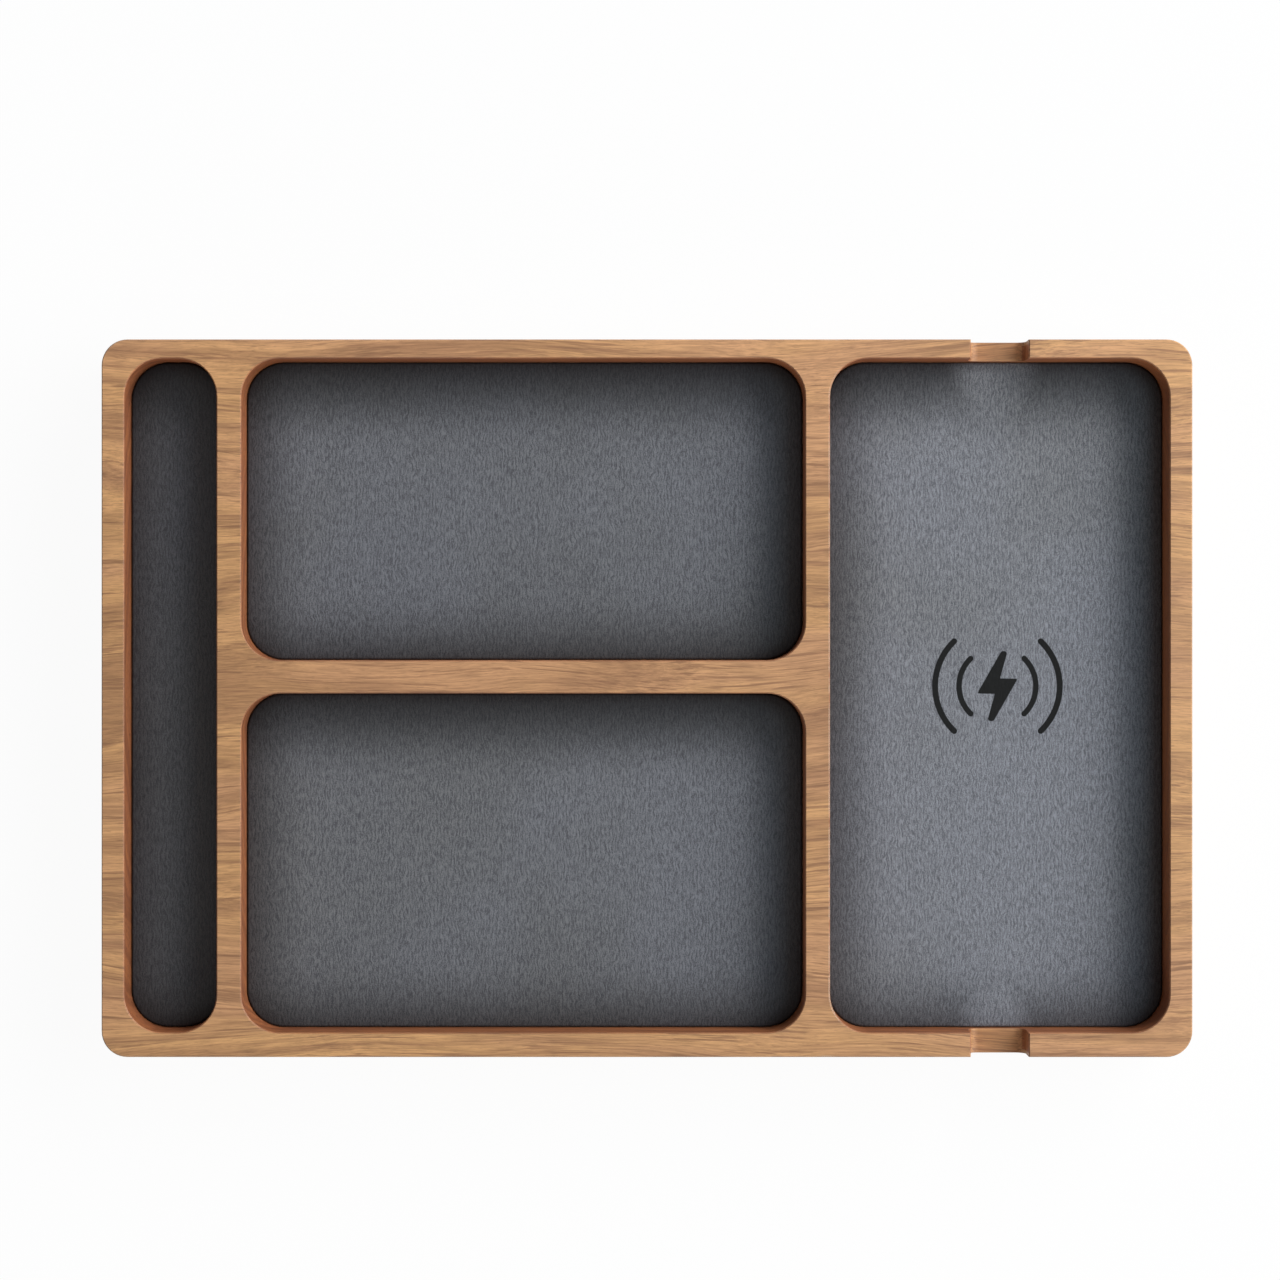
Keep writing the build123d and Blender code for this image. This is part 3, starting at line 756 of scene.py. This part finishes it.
def measure_lining(mesh, low, high):
    """Fills the UV maps of LINING_CORNERS."""
    for corner, start, sign in zip(LINING_CORNERS, (low, high), (1, -1)):
        layer = mesh.uv_layers.new(name=corner)
        for loop in mesh.loops:
            reach = sign * (mesh.vertices[loop.vertex_index].co - start)
            layer.data[loop.index].uv = reach.xy


def lining(pocket, settings, material):
    """A sheet of leather stretched over its board and down the board's edges."""
    low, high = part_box(f"{pocket}_lining_leather")
    board_low, board_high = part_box(f"{pocket}_lining_board")
    bm = bmesh.new()
    base = rounded_outline(bm, low, high, settings.corner_radius, LINING_CORNER_SEGMENTS)
    top = raised(bm, base, high.z - settings.crown - low.z)
    edges = [edge for face in top for edge in face.edges]
    bevelled(bm, edges, settings.edge_roll, EDGE_ROLL_SEGMENTS, "EDGES")
    by_height = sorted(bm.faces, key=lambda face: face.calc_center_median().z)
    under, top = by_height[:1], by_height[-1:]
    for width, rise in CROWN_STEPS:
        inset(bm, top, width * MM, rise * settings.crown)
    inset(bm, under, board_low.x - low.x)
    raised(bm, under, board_high.z - low.z)
    bmesh.ops.delete(bm, geom=under, context="FACES_ONLY")
    piece = finished_object(
        f"{pocket}_leather", bm, material, f"{pocket}_lining_leather"
    )
    measure_lining(piece.data, low, high)


def swept(bm, verts, centre, angle, steps):
    """Spins a chain of verts about the vertical through a centre."""
    edges = [bm.edges.new(pair) for pair in zip(verts, verts[1:])]
    up = Vector((0, 0, 1))
    bmesh.ops.spin(bm, geom=[*verts, *edges], cent=centre, axis=up, angle=angle, steps=steps)


def pointing(turn):
    """A flat direction, turned from the right."""
    return Matrix.Rotation(turn, 3, "Z") @ Vector((1, 0, 0))


def wave(bm, centre, radius, stroke, reach, turn):
    """A flat arc with round ends, whose middle points in the direction of turn."""
    for end in (-1, 1):
        out = pointing(turn + end * reach)
        middle = centre + out * radius
        tip = [bm.verts.new(middle), bm.verts.new(middle + out * stroke / 2)]
        swept(bm, tip, middle, end * math.pi, WAVE_END_SEGMENTS)
    start = pointing(turn - reach)
    distances = (radius - stroke / 2, radius, radius + stroke / 2)
    across = [bm.verts.new(centre + start * distance) for distance in distances]
    swept(bm, across, centre, 2 * reach, WAVE_SEGMENTS)


def bolt(bm, centre):
    """The flat lightning bolt, the same either way up."""
    corners = [(side * x, side * y, radius) for side in (1, -1) for x, y, radius in BOLT_CORNERS]
    verts = [bm.verts.new(centre + Vector((x, y, 0)) * MM) for x, y, _ in corners]
    bm.faces.new(verts)
    for vert, (_, _, radius) in zip(verts, corners):
        bevelled(bm, [vert], radius * MM, BOLT_CORNER_SEGMENTS, "VERTICES")


def dress(name, material):
    """Gives a CAD node its finish."""
    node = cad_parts[name]
    node.data.materials.clear()
    node.data.materials.append(material)


def give_finishes(finishes, settings):
    """Dresses the CAD nodes of plain finishes, in the colours that the settings hold."""
    for finish in finishes:
        material = plain_material(finish, getattr(settings, finish.color))
        for name in finish.nodes:
            dress(name, material)


# Operators


class TRAY_OT_wooden_body(bpy.types.Operator):
    """Finish the routed board as oiled oak"""

    bl_idname = "tray.wooden_body"
    bl_label = "Wooden body"

    def execute(self, context):
        dress("tray_body", wood_material(context.scene.tray_wood))
        return {"FINISHED"}


class TRAY_OT_leather_linings(bpy.types.Operator):
    """Stretch a sheet of grained leather over the board in each pocket"""

    bl_idname = "tray.leather_linings"
    bl_label = "Leather linings"

    def execute(self, context):
        settings = context.scene.tray_leather
        # Each pocket gets a copy of the leather in its own painted brightness
        for pocket, brightness in zip(POCKETS, settings.painted_pocket_light):
            lining(pocket, settings, leather_material(settings, pocket, brightness))
        return {"FINISHED"}


class TRAY_OT_charging_sign(bpy.types.Operator):
    """Print the charging sign on the leather of the charging pocket"""

    bl_idname = "tray.charging_sign"
    bl_label = "Charging sign"

    def execute(self, context):
        settings = context.scene.tray_sign
        right, back = settings.offset
        centre = Vector((charging_middle.x + right, charging_middle.y + back, charging_high.z))
        bm = bmesh.new()
        for turn in (0, math.pi):
            wave(bm, centre, settings.outer_radius, settings.outer_stroke, settings.reach, turn)
            wave(bm, centre, settings.inner_radius, settings.inner_stroke, settings.reach, turn)
        bolt(bm, centre)
        bmesh.ops.remove_doubles(bm, verts=bm.verts, dist=MERGE_DISTANCE)
        raised(bm, bm.faces[:], settings.thickness)
        material = ink_material(settings, context.scene.tray_leather)
        finished_object("charging_sign", bm, material)
        return {"FINISHED"}


class TRAY_OT_underside(bpy.types.Operator):
    """Finish the base panel, the screws, the feet and the lining boards"""

    bl_idname = "tray.underside"
    bl_label = "Underside"

    def execute(self, context):
        give_finishes(UNDERSIDE_FINISHES, context.scene.tray_underside)
        return {"FINISHED"}


class TRAY_OT_charger(bpy.types.Operator):
    """Finish the charger's carrier, circuit board, coil and port"""

    bl_idname = "tray.charger"
    bl_label = "Charger"

    def execute(self, context):
        give_finishes(CHARGER_FINISHES, context.scene.tray_charger)
        return {"FINISHED"}


class TRAY_OT_stage(bpy.types.Operator):
    """Set up the camera, the lamps, the sky and the floor"""

    bl_idname = "tray.stage"
    bl_label = "Stage"

    def execute(self, context):
        settings = context.scene.tray_stage
        make_camera(settings)
        for name in ("key", "fill", "cool"):
            make_lamp(name, settings)
        make_sky(settings)
        make_floor(settings)
        context.scene.view_settings.view_transform = "Standard"
        return {"FINISHED"}


def make_camera(settings):
    data = bpy.data.cameras.new("camera")
    data.sensor_width = 36.0
    data.lens = data.sensor_width * settings.camera_height / settings.field
    camera = bpy.data.objects.new("camera", data)
    camera.location = (*settings.camera_place, tray_high.z + settings.camera_height)
    bpy.context.scene.collection.objects.link(camera)
    bpy.context.scene.camera = camera


def make_lamp(name, settings):
    """A soft lamp that points at the tray, from the settings that start with its name."""
    data = bpy.data.lights.new(f"{name}_lamp", "AREA")
    data.shape = "RECTANGLE"
    data.size = getattr(settings, f"{name}_length")
    data.size_y = getattr(settings, f"{name}_width")
    data.energy = getattr(settings, f"{name}_power")
    data.color = getattr(settings, f"{name}_color")
    lamp = bpy.data.objects.new(f"{name}_lamp", data)
    lamp.location = getattr(settings, f"{name}_place")
    lamp.rotation_euler = lamp.location.to_track_quat("Z", "Y").to_euler()
    bpy.context.scene.collection.objects.link(lamp)


def seen_directly(nodes):
    """One where the camera, a reflection or glass looks, and nought for diffuse light."""
    ray = nodes.add("ShaderNodeLightPath").outputs
    mirrored = nodes.math("MAXIMUM", ray["Is Glossy Ray"], ray["Is Transmission Ray"])
    return nodes.math("MAXIMUM", ray["Is Camera Ray"], mirrored)


def make_sky(settings):
    """A faint sky that looks white."""
    world = bpy.data.worlds.new("sky")
    bpy.context.scene.world = world
    world.use_nodes = True
    world.node_tree.nodes.clear()
    nodes = Nodes(world.node_tree)
    light = {"Color": settings.sky, "Strength": settings.sky_strength}
    soft = nodes.add("ShaderNodeBackground", light).outputs[0]
    white = nodes.add("ShaderNodeBackground", {"Color": (1, 1, 1), "Strength": 1.0}).outputs[0]
    sky = nodes.blended(seen_directly(nodes), soft, white)
    nodes.add("ShaderNodeOutputWorld", {"Surface": sky})


def make_floor(settings):
    """A pale floor that keeps some of the tray's shadow, and is clear from below."""
    bm = bmesh.new()
    bmesh.ops.create_grid(bm, x_segments=1, y_segments=1, size=settings.floor_size / 2)
    mesh = bpy.data.meshes.new("floor")
    bm.to_mesh(mesh)
    bm.free()
    mesh.materials.append(floor_material(settings.floor))
    floor = bpy.data.objects.new("floor", mesh)
    bpy.context.scene.collection.objects.link(floor)


def floor_material(color):
    material = bpy.data.materials.new("pale_floor")
    material.use_nodes = True
    material.node_tree.nodes.clear()
    nodes = Nodes(material.node_tree)
    plain = nodes.add("ShaderNodeBsdfDiffuse", {"Color": color}).outputs[0]
    white = nodes.add("ShaderNodeEmission", {"Color": (1, 1, 1), "Strength": 1.0}).outputs[0]
    clear = nodes.add("ShaderNodeBsdfTransparent").outputs[0]
    lit = nodes.math("MULTIPLY", seen_directly(nodes), FLOOR_WHITE)
    below = nodes.add("ShaderNodeNewGeometry").outputs["Backfacing"]
    surface = nodes.blended(below, nodes.blended(lit, plain, white), clear)
    nodes.add("ShaderNodeOutputMaterial", {"Surface": surface})
    return material


OPERATORS = (
    TRAY_OT_wooden_body,
    TRAY_OT_leather_linings,
    TRAY_OT_charging_sign,
    TRAY_OT_underside,
    TRAY_OT_charger,
    TRAY_OT_stage,
)
SETTINGS = {
    "tray_wood": WoodSettings,
    "tray_leather": LeatherSettings,
    "tray_sign": SignSettings,
    "tray_underside": UndersideSettings,
    "tray_charger": ChargerSettings,
    "tray_stage": StageSettings,
}


class TRAY_PT_sidebar(bpy.types.Panel):
    """The tray's pieces and their settings"""

    bl_idname = "TRAY_PT_sidebar"
    bl_label = "Valet Tray"
    bl_space_type = "VIEW_3D"
    bl_region_type = "UI"
    bl_category = "Valet Tray"

    def draw(self, context):
        for operator, key in zip(OPERATORS, SETTINGS):
            box = self.layout.box()
            box.operator(operator.bl_idname)
            settings = getattr(context.scene, key)
            for name in SETTINGS[key].__annotations__:
                box.prop(settings, name)


def register():
    for kind in (*SETTINGS.values(), *OPERATORS, TRAY_PT_sidebar):
        bpy.utils.register_class(kind)
    for key, kind in SETTINGS.items():
        setattr(bpy.types.Scene, key, PointerProperty(type=kind))


def unregister():
    for key in SETTINGS:
        delattr(bpy.types.Scene, key)
    for kind in reversed((*SETTINGS.values(), *OPERATORS, TRAY_PT_sidebar)):
        bpy.utils.unregister_class(kind)


def main():
    register()
    bpy.ops.tray.wooden_body()
    bpy.ops.tray.leather_linings()
    bpy.ops.tray.charging_sign()
    bpy.ops.tray.underside()
    bpy.ops.tray.charger()
    bpy.ops.tray.stage()


if __name__ == "__main__":
    main()
